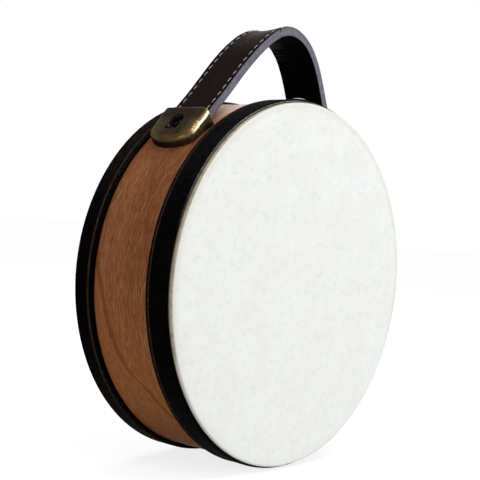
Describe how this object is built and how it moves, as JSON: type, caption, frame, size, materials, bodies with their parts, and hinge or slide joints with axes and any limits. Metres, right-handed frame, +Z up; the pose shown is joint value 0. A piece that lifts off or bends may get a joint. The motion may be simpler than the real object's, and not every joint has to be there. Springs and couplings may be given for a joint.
{
  "type": "tambourine",
  "caption": "Single-headed hand drum with a wooden shell, leather-bound rims and an arched leather carrying handle held by two brass caps.",
  "frame": {"origin": "centre of the playing head's outer face", "axes": "the drum's axis is Y and the head faces -Y; +Z points up through the carrying handle; +X is to the right as the head is faced"},
  "size_m": [0.254, 0.0887, 0.3079],
  "materials": {
    "beech": "satin oiled",
    "hoop_wood": "bare sanded",
    "head_skin": "matt white drum skin",
    "band_leather": "smooth black",
    "strap_leather": "waxed dark brown",
    "strap_core": "painted edge",
    "strap_lining": "soft black",
    "thread": "waxed cream",
    "brass": "antique",
    "steel": "dull plated"
  },
  "bodies": {
    "drum": {"shell": "beech", "front_hoop": "hoop_wood", "rear_hoop": "hoop_wood", "drumhead": "head_skin", "front_band": "band_leather", "rear_band": "band_leather", "left_cap": "brass", "right_cap": "brass", "left_cap_screw": "steel", "right_cap_screw": "steel", "left_cap_washer": "steel", "right_cap_washer": "steel", "left_cap_nut": "steel", "right_cap_nut": "steel", "left_strap_end": "strap_leather", "right_strap_end": "strap_leather"},
    "handle": {"handle_leather": "strap_leather", "handle_core": "strap_core", "handle_lining": "strap_lining", "handle_stitching": "thread", "left_strap_bend": "strap_leather", "right_strap_bend": "strap_leather"}
  },
  "joints": [
    {"name": "handle_sway", "type": "hinge", "parent": "drum", "child": "handle", "pos_m": [0, 0.0478, 0.10536], "axis": [1, 0, 0], "range_deg": [-12, 12], "stiffness_Nm_per_rad": 0.3, "deforming": ["left_strap_bend", "right_strap_bend"]}
  ]
}
